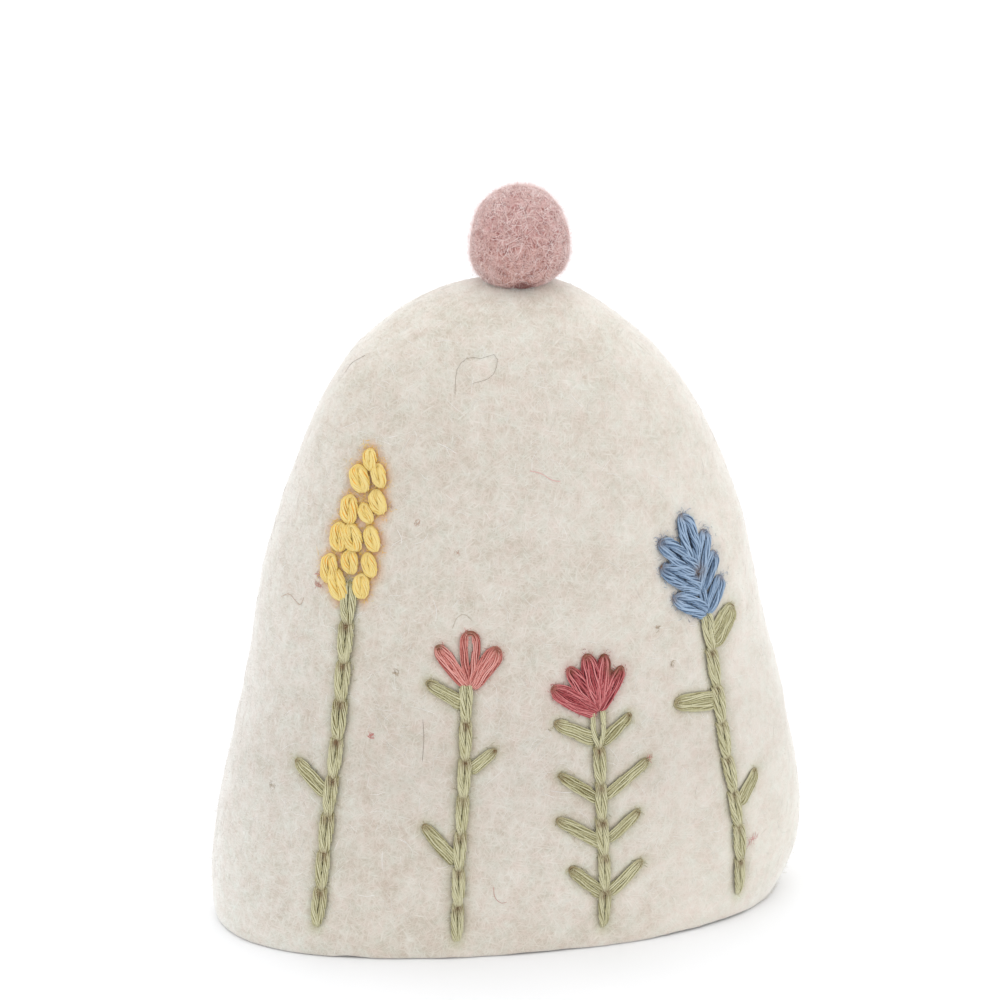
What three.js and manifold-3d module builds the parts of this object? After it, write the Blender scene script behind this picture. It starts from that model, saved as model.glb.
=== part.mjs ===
// Egg cosy of thick wool felt: a seamless bell that is open at its hem, with a felted ball on its crown
// and four flowers embroidered on its front. Millimetres, +Z up. The hem stands on z = 0, and the front
// faces -Y.

import * as THREE from 'three';
import { mergeVertices } from 'three/addons/utils/BufferGeometryUtils.js';
import Module from 'manifold-3d';

const wasm = await Module();
wasm.setup();

// Driving dimensions of the felt
const CROWN_HEIGHT = 95;
const FELT_THICKNESS = 3.5;
const SECTION_POWER = 2.2; // 2 is an ellipse, and more is squarer toward the sides
const CAP_ROWS = 26;
const CAP_SEGMENTS = 48;
const SLOPE_STEP = 0.05; // between the places where the wall's slope is measured
const WOOL_ROUGHNESS = 0.95;

// The outside of the bell, a row for each height: how far the felt stands from the middle line
const SECTIONS = [
  { z: 0, left: 43.2, right: 40.1, front: 22.2, back: 23.6 },
  { z: 4, left: 44.4, right: 42.7, front: 23.1, back: 24.7 },
  { z: 9, left: 44.3, right: 44.1, front: 23.6, back: 25.2 },
  { z: 16, left: 43.3, right: 43.8, front: 23.8, back: 25.2 },
  { z: 26, left: 41.4, right: 42.0, front: 23.7, back: 24.8 },
  { z: 38, left: 38.7, right: 39.1, front: 23.2, back: 24.0 },
  { z: 50, left: 36.5, right: 36.6, front: 22.2, back: 22.8 },
  { z: 60, left: 34.1, right: 34.4, front: 20.8, back: 21.2 },
  { z: 68, left: 31.5, right: 31.2, front: 19.2, back: 19.4 },
  { z: 75, left: 28.8, right: 27.9, front: 17.4, back: 17.4 },
  { z: 81, left: 25.7, right: 24.1, front: 15.2, back: 15.2 },
  { z: 86, left: 22.0, right: 19.5, front: 12.7, back: 12.7 },
  { z: 90, left: 17.4, right: 14.5, front: 10.0, back: 10.0 },
  { z: 93, left: 11.7, right: 9.5, front: 6.7, back: 6.7 },
  { z: CROWN_HEIGHT, left: 0, right: 0, front: 0, back: 0 },
];

// The ball sits on the crown, a little right of the middle. It is widest below its middle, where it is
// pressed against the felt, and more upright below its widest level than a round ball is.
const BALL_RADIUS = 7.35;
const BALL_RISE = 9.1;
const BALL_DROP = 6.5;
const BALL_FOOT_POWER = 2.5; // 2 is round, and more is squarer toward the foot
const BALL_CENTRE = new THREE.Vector3(1.5, 0, 99.5);
const BALL_SEGMENTS = 24;
const SEAT_GAP = 0.3; // between the felt of the bell and each piece that it carries
const SEAT_HALVINGS = 30;

// Embroidery sizes
const LINK = { length: 5.6, lap: 0.8, width: 2.1, thickness: 1.2 };
const LEAF = { width: 2.5, thickness: 1.2 };
const KNOT = { length: 4.2, width: 3.1, lean: 0.3, thickness: 1.5 };
const STITCH_SEGMENTS = { around: 6, along: 5 };

// The four plants, laid out flat on the front as [x, z]. A stem is listed from the hem up, and a leaf or
// a petal from where it leaves the stem to its tip. The yellow spike is tiers of small knots instead of
// petals.
const PLANTS = [
  {
    name: 'yellow',
    stem: [[-32.5, 4], [-31, 20], [-28.5, 38], [-27.2, 51.8]],
    leaves: [
      { base: [-30.5, 23.5], tip: [-35, 29.5] },
    ],
    tiers: [
      { x: -26.7, z: 55.2, knots: 2, pitch: 2.9 },
      { x: -26.4, z: 58.2, knots: 3, pitch: 2.8 },
      { x: -25.8, z: 62.0, knots: 3, pitch: 2.4 },
      { x: -24.1, z: 66.0, knots: 3, pitch: 2.1 },
      { x: -23.6, z: 70.0, knots: 3, pitch: 1.7 },
      { x: -22.8, z: 72.8, knots: 1, pitch: 0 },
    ],
  },
  {
    name: 'pink',
    stem: [[-13, 2.5], [-12.7, 15], [-11.5, 29], [-11.3, 40.2]],
    leaves: [
      { base: [-12.8, 14.5], tip: [-18.2, 21] },
      { base: [-11.6, 28.5], tip: [-7.2, 32] },
      { base: [-11.6, 38], tip: [-17, 41.8] },
    ],
    petals: [
      { base: [-11.4, 41.5], tip: [-15.4, 47.5], width: 3.2 },
      { base: [-11.1, 41.5], tip: [-10.6, 49.5], width: 4.2 },
      { base: [-10.8, 41.5], tip: [-6.6, 47], width: 3.0 },
    ],
  },
  {
    name: 'red',
    stem: [[8.5, 2.5], [9, 12], [8.2, 24], [7.8, 35.2]],
    leaves: [
      { base: [8.7, 7.5], tip: [3.4, 13] },
      { base: [9.3, 7.5], tip: [14.6, 13] },
      { base: [8.4, 15.8], tip: [1.2, 20.6] },
      { base: [9, 15.8], tip: [14.2, 20.6] },
      { base: [7.9, 22.3], tip: [1.5, 27.6] },
      { base: [8.5, 22.3], tip: [15.4, 28.2] },
      { base: [7.5, 31.2], tip: [1, 35.5] },
      { base: [8.1, 31.2], tip: [12.7, 35.4] },
    ],
    petals: [
      { base: [7.3, 36.5], tip: [0.8, 39.6], width: 2.4 },
      { base: [7.3, 36.6], tip: [2, 41.8], width: 2.4 },
      { base: [7.5, 36.7], tip: [4, 43.6], width: 2.4 },
      { base: [7.7, 36.8], tip: [6.4, 44.7], width: 2.4 },
      { base: [7.9, 36.7], tip: [8.9, 44.4], width: 2.4 },
      { base: [8.1, 36.6], tip: [10.8, 43], width: 2.4 },
      { base: [8.1, 36.5], tip: [12.2, 41], width: 2.4 },
    ],
  },
  {
    name: 'blue',
    stem: [[30.5, 4], [29.6, 15], [26.5, 33], [25, 46.2]],
    leaves: [
      { base: [29.7, 17.5], tip: [33.4, 23.2] },
      { base: [26.3, 34], tip: [19, 35.8] },
      { base: [25.2, 43], tip: [30.3, 48.3] },
    ],
    petals: [
      { base: [24.7, 47.5], tip: [19.4, 51.8], width: 2.6 },
      { base: [24.4, 49], tip: [17.5, 55.8], width: 2.6 },
      { base: [23.6, 52], tip: [17.6, 59.5], width: 2.6 },
      { base: [23.4, 53.5], tip: [21.6, 62.8], width: 2.8 },
      { base: [23.8, 53], tip: [25.8, 60], width: 2.6 },
      { base: [24.2, 50.5], tip: [27.2, 56.6], width: 2.6 },
      { base: [24.8, 47.5], tip: [28.2, 52.8], width: 2.6 },
    ],
  },
];

const COLOURS = {
  felt: '#ddd5c9',
  ball: '#c49d98',
  stem: '#a8a37e',
  yellow: '#dfc27a',
  pink: '#c47a72',
  red: '#a65a5c',
  blue: '#8098b0',
};

// Joins the corners that a geometry's faces share, and drops the triangles that close to nothing
function weld(geometry) {
  geometry.deleteAttribute('normal');
  geometry.deleteAttribute('uv');
  const joined = mergeVertices(geometry);
  const corners = joined.index.array;
  const kept = [];
  for (let i = 0; i < corners.length; i += 3) {
    const triangle = Array.from(corners.subarray(i, i + 3));
    if (new Set(triangle).size === 3) kept.push(...triangle);
  }
  joined.setIndex(kept);
  return joined;
}

// Fuses overlapping geometries into one closed body
function fuse(geometries) {
  const solids = geometries.map((geometry) => {
    const { attributes, index } = weld(geometry);
    const vertProperties = new Float32Array(attributes.position.array);
    const triVerts = new Uint32Array(index.array);
    return new wasm.Manifold(new wasm.Mesh({ numProp: 3, vertProperties, triVerts }));
  });
  const { vertProperties, triVerts } = solids.reduce((whole, solid) => whole.add(solid)).getMesh();
  const fused = new THREE.BufferGeometry();
  fused.setAttribute('position', new THREE.BufferAttribute(vertProperties, 3));
  fused.setIndex(new THREE.BufferAttribute(triVerts, 1));
  return fused;
}

// Moves every vertex of a geometry by a function of its position and its number
function reshape(geometry, move) {
  const { position } = geometry.attributes;
  for (let i = 0; i < position.count; i += 1) {
    const moved = move(new THREE.Vector3().fromBufferAttribute(position, i), i);
    position.setXYZ(i, moved.x, moved.y, moved.z);
  }
  return geometry;
}

// The squares of the half widths are interpolated, so that the bell closes in a round crown
const squaredWidths = new THREE.CubicInterpolant(
  SECTIONS.map(({ z }) => z),
  SECTIONS.flatMap(({ left, right, front, back }) => [left ** 2, right ** 2, front ** 2, back ** 2]),
  4,
);

function halfWidths(z) {
  const squares = Array.from(squaredWidths.evaluate(z));
  const [left, right, front, back] = squares.map((square) => Math.sqrt(Math.max(square, 0)));
  return { left, right, front, back };
}

// Is 1 on the outside of the bell, less within it and more beyond it
function reach(x, y, z) {
  const { left, right, front, back } = halfWidths(z);
  const across = Math.abs(x) / (x > 0 ? right : left);
  const along = Math.abs(y) / (y > 0 ? back : front);
  return across ** SECTION_POWER + along ** SECTION_POWER;
}

function outward({ x, y, z }) {
  return new THREE.Vector3(
    reach(x + SLOPE_STEP, y, z) - reach(x - SLOPE_STEP, y, z),
    reach(x, y + SLOPE_STEP, z) - reach(x, y - SLOPE_STEP, z),
    reach(x, y, z + SLOPE_STEP) - reach(x, y, z - SLOPE_STEP),
  ).normalize();
}

function outsidePoint(z, angle) {
  const { left, right, front, back } = halfWidths(z);
  const across = Math.cos(angle);
  const along = Math.sin(angle);
  const x = Math.abs(across) ** (2 / SECTION_POWER) * (across > 0 ? right : -left);
  const y = Math.abs(along) ** (2 / SECTION_POWER) * (along > 0 ? back : -front);
  return new THREE.Vector3(x, y, z);
}

// The inside lies one thickness behind the outside, and the hem is a flat ring between the two
function insidePoint(z, angle) {
  const point = outsidePoint(z, angle);
  const normal = z < CROWN_HEIGHT ? outward(point) : new THREE.Vector3(0, 0, 1);
  point.addScaledVector(normal, -FELT_THICKNESS);
  if (z === 0) point.z = 0;
  return point;
}

// The bell: a turned profile, down its inside and up its outside, pushed out of round to the sections
function feltCap() {
  const heights = Array.from({ length: CAP_ROWS + 1 }, (_, row) => (
    CROWN_HEIGHT * (1 - Math.cos(Math.PI * row / CAP_ROWS)) / 2
  ));
  heights[CAP_ROWS] = CROWN_HEIGHT;
  const rows = [
    ...heights.toReversed().map((z) => ({ z, place: insidePoint })),
    ...heights.map((z) => ({ z, place: outsidePoint })),
  ];
  const turned = new THREE.LatheGeometry(rows.map(({ z }) => new THREE.Vector2(1, z)), CAP_SEGMENTS);
  return weld(reshape(turned, (_, i) => {
    const { z, place } = rows[i % rows.length];
    const segment = Math.floor(i / rows.length) % CAP_SEGMENTS;
    return place(z, 2 * Math.PI * segment / CAP_SEGMENTS);
  }));
}

// Height of the crown at a place under the ball, found by halving
function crownHeight(x, y) {
  let low = CROWN_HEIGHT - BALL_RISE;
  let high = CROWN_HEIGHT;
  for (let halving = 0; halving < SEAT_HALVINGS; halving += 1) {
    const middle = (low + high) / 2;
    if (reach(x, y, middle) < 1) low = middle;
    else high = middle;
  }
  return low;
}

// The ball, pressed down onto the crown so that its underside follows the felt
function feltBall() {
  const ball = new THREE.SphereGeometry(1, BALL_SEGMENTS, BALL_SEGMENTS / 2);
  ball.rotateX(Math.PI / 2);
  return weld(reshape(ball, (point) => {
    const upper = point.z > 0;
    const power = upper ? 2 : BALL_FOOT_POWER;
    const across = Math.hypot(point.x, point.y);
    const fullness = (across ** power + Math.abs(point.z) ** power) ** (-1 / power);
    const height = upper ? BALL_RISE : BALL_DROP;
    point.multiply(new THREE.Vector3(BALL_RADIUS, BALL_RADIUS, height)).multiplyScalar(fullness);
    point.add(BALL_CENTRE);
    if (point.z < CROWN_HEIGHT + SEAT_GAP) {
      point.z = Math.max(point.z, crownHeight(point.x, point.y) + SEAT_GAP);
    }
    return point;
  }));
}

// Lays a flat piece of embroidery on the front. Flat, it lies in x and z, and -y is its height.
function drape(geometry) {
  return reshape(geometry, ({ x, y, z }) => {
    const { left, right, front } = halfWidths(z);
    const across = Math.abs(x) / (x > 0 ? right : left);
    const wall = new THREE.Vector3(x, -front * (1 - across ** SECTION_POWER) ** (1 / SECTION_POWER), z);
    return wall.addScaledVector(outward(wall), -y);
  });
}

// One plump stitch between two places on the front
function stitch(from, to, { width, thickness }) {
  const start = new THREE.Vector2(...from);
  const way = new THREE.Vector2(...to).sub(start);
  const middle = start.addScaledVector(way, 0.5);
  const plump = new THREE.SphereGeometry(1, STITCH_SEGMENTS.around, STITCH_SEGMENTS.along);
  plump.rotateX(Math.PI / 2);
  plump.scale(width / 2, thickness / 2, way.length() / 2);
  plump.rotateY(Math.atan2(way.x, way.y));
  plump.translate(middle.x, -(SEAT_GAP + thickness / 2), middle.y);
  return drape(plump);
}

// A stem is a chain of links that lap over each other
function chain(places) {
  const curve = new THREE.SplineCurve(places.map((place) => new THREE.Vector2(...place)));
  const joints = curve.getSpacedPoints(Math.round(curve.getLength() / LINK.length));
  return joints.slice(1).map((end, i) => {
    const lap = end.clone().sub(joints[i]).setLength(LINK.lap);
    return stitch(joints[i].clone().sub(lap).toArray(), end.clone().add(lap).toArray(), LINK);
  });
}

function knotSpike(tiers) {
  return tiers.flatMap(({ x, z, knots, pitch }) => Array.from({ length: knots }, (_, i) => {
    const middle = x + (i - (knots - 1) / 2) * pitch;
    const lean = (KNOT.length / 2) * KNOT.lean;
    return stitch([middle - lean, z - KNOT.length / 2], [middle + lean, z + KNOT.length / 2], KNOT);
  }));
}

function piece(name, geometry, colour) {
  geometry.computeVertexNormals();
  const material = new THREE.MeshStandardMaterial({ color: colour, roughness: WOOL_ROUGHNESS, metalness: 0 });
  const mesh = new THREE.Mesh(geometry, material);
  mesh.name = name;
  return mesh;
}

const cosy = new THREE.Group();
cosy.add(piece('felt_cap', feltCap(), COLOURS.felt));
cosy.add(piece('felt_ball', feltBall(), COLOURS.ball));

for (const { name, stem, leaves, tiers, petals } of PLANTS) {
  const leafStitches = leaves.map(({ base, tip }) => stitch(base, tip, LEAF));
  const headStitches = tiers
    ? knotSpike(tiers)
    : petals.map(({ base, tip, width }) => stitch(base, tip, { width, thickness: LEAF.thickness }));
  cosy.add(piece(`${name}_stem`, fuse([...chain(stem), ...leafStitches]), COLOURS.stem));
  cosy.add(piece(`${name}_flower`, fuse(headStitches), COLOURS[name]));
}

export default cosy;
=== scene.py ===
# %% [markdown]
# # A felt egg cosy with stitched flowers
# The cosy is a small bell of thick cream wool felt that stands on its hem. A felted pink ball is sewn to
# its crown, and four flowers are stitched on its front in stranded cotton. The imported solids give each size
# and place, and this script dresses them: it lays the wool, the strands of thread, the stray hairs and the
# light. Lengths are worked out in millimetres and become metres when a mesh is made.

# %% The frame
from itertools import product

import bpy
import numpy as np
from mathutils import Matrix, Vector
from mathutils.kdtree import KDTree


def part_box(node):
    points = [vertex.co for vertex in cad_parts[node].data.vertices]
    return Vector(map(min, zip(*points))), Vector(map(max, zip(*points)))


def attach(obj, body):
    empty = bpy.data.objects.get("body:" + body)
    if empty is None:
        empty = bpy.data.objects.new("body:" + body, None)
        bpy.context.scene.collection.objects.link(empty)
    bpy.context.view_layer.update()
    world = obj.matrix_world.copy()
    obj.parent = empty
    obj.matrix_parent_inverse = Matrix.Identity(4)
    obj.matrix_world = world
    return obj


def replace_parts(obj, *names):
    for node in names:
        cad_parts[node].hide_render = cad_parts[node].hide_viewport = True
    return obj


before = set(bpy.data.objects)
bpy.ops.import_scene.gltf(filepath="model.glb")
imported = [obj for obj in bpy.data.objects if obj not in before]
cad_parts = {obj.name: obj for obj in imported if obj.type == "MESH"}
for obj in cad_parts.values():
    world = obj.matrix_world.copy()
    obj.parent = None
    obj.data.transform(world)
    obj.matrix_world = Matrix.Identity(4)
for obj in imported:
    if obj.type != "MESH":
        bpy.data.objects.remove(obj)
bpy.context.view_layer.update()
MM = 0.001

# %% [markdown]
# The photograph looks down a little on the front, from the left of it. A short lens close by would draw the
# upright lines together, so a long lens far away is used, as in a studio. The eye is placed by an angle of
# turn and of rise about the middle of the bell, and it aims a little over that middle, so no lens shift is
# needed.

# %% Camera
VIEW_TURN, VIEW_RISE = np.radians((-13, 18))
VIEW_DISTANCE = 620
VIEW_MIDDLE = np.array((0, 0, 50))
AIM_UP, AIM_LEFT = 11.1, 1.37
LENS_MM, SENSOR_MM = 152.6, 36

to_right = np.array((np.cos(VIEW_TURN), np.sin(VIEW_TURN), 0))
to_eye = np.array((
    np.sin(VIEW_TURN) * np.cos(VIEW_RISE),
    -np.cos(VIEW_TURN) * np.cos(VIEW_RISE),
    np.sin(VIEW_RISE),
))
to_top = np.cross(to_eye, to_right)
eye = VIEW_MIDDLE + to_eye * VIEW_DISTANCE
aim = VIEW_MIDDLE + to_top * AIM_UP - to_right * AIM_LEFT

scene = bpy.context.scene
camera = bpy.data.objects.new("camera", bpy.data.cameras.new("camera"))
camera.data.lens = LENS_MM
camera.data.sensor_width = SENSOR_MM
camera.location = eye * MM
camera.rotation_euler = Vector(aim - eye).to_track_quat("-Z", "Y").to_euler()
scene.collection.objects.link(camera)
scene.camera = camera
print("camera at", eye.round(1), "mm")

# %% [markdown]
# A finish is a material made of nodes. Pictures could be painted onto the pieces instead, but nodes stay
# sharp at any size and need no file. Two small classes keep their maths readable: a wire is a socket on
# which sums can be written, and each sum adds a Math node, while a finish makes any other node from its
# type, its settings and the values or wires of its sockets.

# %% Sums on wires
class Wire:
    """A socket in a finish; a sum on it adds a Math node."""

    def __init__(self, finish, socket):
        self.finish = finish
        self.socket = socket

    def math(self, operation, *terms):
        return self.finish.node("ShaderNodeMath", {"operation": operation}, dict(enumerate(terms)))

    def __add__(self, other):
        return self.math("ADD", self, other)

    def __radd__(self, other):
        return self.math("ADD", other, self)

    def __sub__(self, other):
        return self.math("SUBTRACT", self, other)

    def __rsub__(self, other):
        return self.math("SUBTRACT", other, self)

    def __mul__(self, other):
        return self.math("MULTIPLY", self, other)

    def __rmul__(self, other):
        return self.math("MULTIPLY", other, self)

    def __abs__(self):
        return self.math("ABSOLUTE", self)

    def over(self, other):
        """The larger of two wires."""
        return self.math("MAXIMUM", self, other)

    def capped(self):
        """The wire kept from 0 to 1."""
        return self.math("MINIMUM", self.math("MAXIMUM", self, 0.0), 1.0)


print("wires can be added, subtracted, multiplied and capped")

# %% Nodes of a finish
def paint(red, green, blue):
    """A colour as seen on a screen, 0 to 255, as the linear colour that a shader takes."""
    seen = np.array((red, green, blue)) / 255
    linear = np.where(seen <= 0.04045, seen / 12.92, ((seen + 0.055) / 1.055) ** 2.4)
    return (*linear.tolist(), 1.0)


class Finish:
    """A material made of nodes that end in a Principled shader with the given fixed values."""

    def __init__(self, name, fixed):
        self.material = bpy.data.materials.new(name)
        self.material.use_nodes = True
        self.tree = self.material.node_tree
        self.shader = self.tree.nodes["Principled BSDF"]
        for socket, value in fixed.items():
            self.shader.inputs[socket].default_value = value
        self.place = self.node("ShaderNodeTexCoord", {}, {}, "Object")

    def node(self, kind, settings, inputs, out=0):
        """A node of any type: its settings come first, then the values or wires of its sockets."""
        made = self.tree.nodes.new(kind)
        for name, value in settings.items():
            if name == "stops":
                while len(made.color_ramp.elements) < len(value):
                    made.color_ramp.elements.new(1.0)
                for element, (at, colour) in zip(made.color_ramp.elements, value):
                    element.position = at
                    element.color = colour
            else:
                setattr(made, name, value)
        for name, value in inputs.items():
            self.feed(made.inputs[name], value)
        return Wire(self, made.outputs[out])

    def feed(self, socket, value):
        if isinstance(value, Wire):
            self.tree.links.new(value.socket, socket)
        else:
            socket.default_value = value

    def noise(self, size, shift=0.0, detail=2.0, rough=0.5, bend=0.0):
        """Soft random patches of a size in mm, near 0.5; a shift gives another set."""
        scaled = self.node("ShaderNodeMapping", {}, {
            "Vector": self.place,
            "Location": (shift, shift * 0.7, -shift),
            "Scale": (1 / (size * MM),) * 3,
        })
        return self.node("ShaderNodeTexNoise", {}, {
            "Vector": scaled, "Scale": 1.0, "Detail": detail, "Roughness": rough, "Distortion": bend,
        })

    def lines(self, size, width, shift):
        """Thin curly lines, 1 on the line and 0 away from it: the places where smooth noise is just 0.5."""
        off_line = abs(self.noise(size, shift, detail=0.0, bend=0.6) - 0.5)
        return (1.0 - off_line * (1.0 / width)).capped()

    def streaks(self, length, width, turn):
        """Straight soft streaks, sized in mm and turned on the front by an angle in degrees."""
        turned = self.node("ShaderNodeMapping", {"vector_type": "TEXTURE"}, {
            "Vector": self.place,
            "Location": (turn * MM, 0.0, turn * MM),
            "Rotation": (0.0, np.radians(turn), 0.0),
            "Scale": (length * MM, length * MM / 2, width * MM),
        })
        return self.node("ShaderNodeTexNoise", {}, {
            "Vector": turned, "Scale": 1.0, "Detail": 1.0, "Distortion": 0.5,
        })

    def attribute(self, name):
        return self.node("ShaderNodeAttribute", {"attribute_name": name}, {}, "Fac")

    def ramp(self, amount, stops):
        return self.node("ShaderNodeValToRGB", {"stops": stops}, {"Fac": amount})

    def blend(self, amount, first, second, way="MIX"):
        settings = {"data_type": "RGBA", "blend_type": way}
        return self.node("ShaderNodeMix", settings, {0: amount, 6: first, 7: second}, 2)

    def close(self, colour, height=None, strength=0.5, depth_mm=0.1):
        """Feeds the shader with the colour, and with a bump where a height is given."""
        self.feed(self.shader.inputs["Base Color"], colour)
        if height is not None:
            bump = self.node("ShaderNodeBump", {}, {
                "Strength": strength, "Distance": depth_mm * MM, "Height": height,
            }, "Normal")
            self.feed(self.shader.inputs["Normal"], bump)
        return self.material


print("finishes are ready to be mixed")

# %% [markdown]
# The bell was felted in the round and pressed flat, so it has no seam, and a section through it is a
# rounded oval, a little squarer than an ellipse. It could be drawn again from typed sizes, but it would
# drift from the solid as soon as that changed, so it is read back from it. The solid's outer wall is a
# stack of rings, and each height that many corners share gives four half widths: to the left, the right,
# the front and the back. Between rings a smooth curve runs through those widths.

# %% The bell's widths
SECTION_POWER = 2.2
RING_CORNERS = 48
CROWN = 95.0
STEP = 0.05

corners = np.array([v.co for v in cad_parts["felt_cap"].data.vertices]) / MM
corners = np.unique(corners.round(2), axis=0)
heights, shared = np.unique(corners[:, 2], return_counts=True)
rings = []
for height in heights[shared >= RING_CORNERS]:
    ring = corners[corners[:, 2] == height]
    rings.append((-ring[:, 0].min(), ring[:, 0].max(), -ring[:, 1].min(), ring[:, 1].max()))
rings = np.array(rings + [(0, 0, 0, 0)])
LAST_RING = len(rings) - 1
widths = np.concatenate((rings[1:2], rings, -rings[-2:-1]))


def half_widths(z):
    """Left, right, front and back half widths of the bell at heights z."""
    row = np.arccos(1 - 2 * np.clip(z / CROWN, 0, 1)) / np.pi * LAST_RING
    at = np.clip(row.astype(int), 0, LAST_RING - 1)
    part = (row - at)[..., None]
    before, here, after, beyond = (widths[at + step] for step in range(4))
    bend = 2 * before - 5 * here + 4 * after - beyond
    twist = 3 * (here - after) + beyond - before
    return np.maximum(here + part / 2 * (after - before + part * (bend + part * twist)), 0.01)


print(LAST_RING + 1, "rings, widest", rings.max(axis=0).round(1), "mm to left, right, front and back")

# %% The bell's wall
def bell(z, turn):
    """Points of the outer wall at heights z and turns about the upright axis."""
    left, right, front, back = np.moveaxis(half_widths(z), -1, 0)
    across, away = np.cos(turn), np.sin(turn)
    reach = (np.abs(across) ** SECTION_POWER + np.abs(away) ** SECTION_POWER) ** (-1 / SECTION_POWER)
    wide = np.where(across < 0, left, right)
    deep = np.where(away < 0, front, back)
    return np.stack((across * wide * reach, away * deep * reach, z), -1)


def level(points):
    """1 on the wall, less inside it and more outside it."""
    left, right, front, back = half_widths(points[:, 2]).T
    x, y = points[:, 0], points[:, 1]
    wide = np.where(x < 0, left, right)
    deep = np.where(y < 0, front, back)
    return (np.abs(x / wide) ** SECTION_POWER + np.abs(y / deep) ** SECTION_POWER) ** (1 / SECTION_POWER)


def unit(vectors):
    return vectors / np.maximum(np.linalg.norm(vectors, axis=-1, keepdims=True), 1e-9)


def slope(points):
    """How fast the level grows along x, y and z."""
    rises = [level(points + step) - level(points - step) for step in np.eye(3) * STEP]
    return np.stack(rises, -1) / (2 * STEP)


def outward(points):
    """Directions straight out of the wall."""
    return unit(slope(points))


def onto_wall(points):
    """Points near the wall, moved straight onto it."""
    for _ in range(2):
        steep = slope(points)
        points = points - steep * ((level(points) - 1) / (steep ** 2).sum(axis=1))[:, None]
    return points


def on_front(x, z):
    """Points of the front wall at places x and z."""
    left, right, front, back = half_widths(z).T
    wide = np.where(x < 0, left, right)
    y = -front * np.maximum(1 - np.abs(x / wide) ** SECTION_POWER, 0) ** (1 / SECTION_POWER)
    return np.column_stack((x, y, z))


front_at = on_front(np.zeros(2), np.array((0.0, 60.0)))[:, 1]
print("the front is at", front_at.round(1), "mm at the hem and 60 mm up")

# %% [markdown]
# Felt is never even: the wool is thicker in some places than in others. A Displace modifier could push the
# wall in and out, but it moves one mesh alone. Here soft random lumps of three sizes are worked out for any
# point in space, so the wall, the thread on it and the fibres over it all agree.

# %% Lumps in the felt
LATTICE = 32


def lumps(points, size, seed):
    """Smooth random heights from -1 to 1 with bumps of a size in mm."""
    table = np.random.default_rng(seed).uniform(-1, 1, (LATTICE, LATTICE, LATTICE))
    cell = np.floor(points / size).astype(int)
    part = points / size - cell
    part = part * part * (3 - 2 * part)
    total = np.zeros(len(points))
    for corner in product((0, 1), repeat=3):
        weight = np.prod(np.where(corner, part, 1 - part), axis=1)
        total += weight * table[tuple(((cell + corner) % LATTICE).T)]
    return total


SWELLS = ((0.35, 17, 1), (0.12, 4.5, 2), (0.04, 1.5, 3))


def swell(points):
    """How far the felt stands out of the even bell, in mm."""
    return sum(height * lumps(points, size, seed) for height, size, seed in SWELLS)


sample = bell(np.linspace(5, 90, 200), np.linspace(0, 40, 200))
print("the felt swells from %.2f to %.2f mm" % (swell(sample).min(), swell(sample).max()))

# %% [markdown]
# Every stitch here is a loop that is caught down at its tip. A stem is a chain of such loops, each one
# starting inside the round end of the one below. A leaf or a petal is one loop, drawn together or left a
# little open, and the yellow spike is made of short plump ones. A rule could space the petals evenly, but
# these were sewn by hand and no two are alike, so the plan is a list. It gives where each loop leaves the
# stem and where its tip is, as x to the right and z up on the front, then its width and the gap inside it,
# in mm.

# %% The plan of the stitches
STEMS = {
    "yellow": [(-32.4, 4.5), (-30.8, 20), (-28.5, 38), (-26.7, 55)],
    "pink": [(-12.9, 2.3), (-12.7, 15), (-11.8, 29), (-11.4, 41.2)],
    "red": [(8.7, 2.9), (8.8, 10), (8.2, 20), (7.6, 36)],
    "blue": [(30.6, 3.9), (29.9, 15), (27.1, 30.7), (24.8, 47.6)],
}
LEAVES = {
    "yellow": [((-30.4, 24.6), (-34.8, 29.6), 2.0)],
    "pink": [
        ((-13, 15), (-17.9, 21.2), 1.9), ((-11.3, 28.8), (-7, 32.1), 1.7),
        ((-11.6, 38.6), (-17.1, 42.3), 1.9),
    ],
    "red": [
        ((8.8, 8.2), (3.3, 13.2), 1.9), ((9.2, 8.3), (14.8, 13.1), 1.8),
        ((8.6, 16.2), (1.3, 20.9), 1.9), ((8.9, 16.6), (14.3, 20.9), 1.7),
        ((8, 23), (1.6, 27.7), 1.7), ((8.5, 23.3), (15.5, 28.5), 1.7),
        ((7.5, 32.1), (1, 35.5), 2.0), ((8, 31.5), (12.9, 35.7), 1.8),
    ],
    "blue": [
        ((29.8, 18.5), (33.3, 23.4), 2.0), ((26.3, 35.2), (19.1, 36.1), 2.6),
        ((25.6, 43.6), (29.9, 48.6), 3.3),
    ],
}
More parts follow.
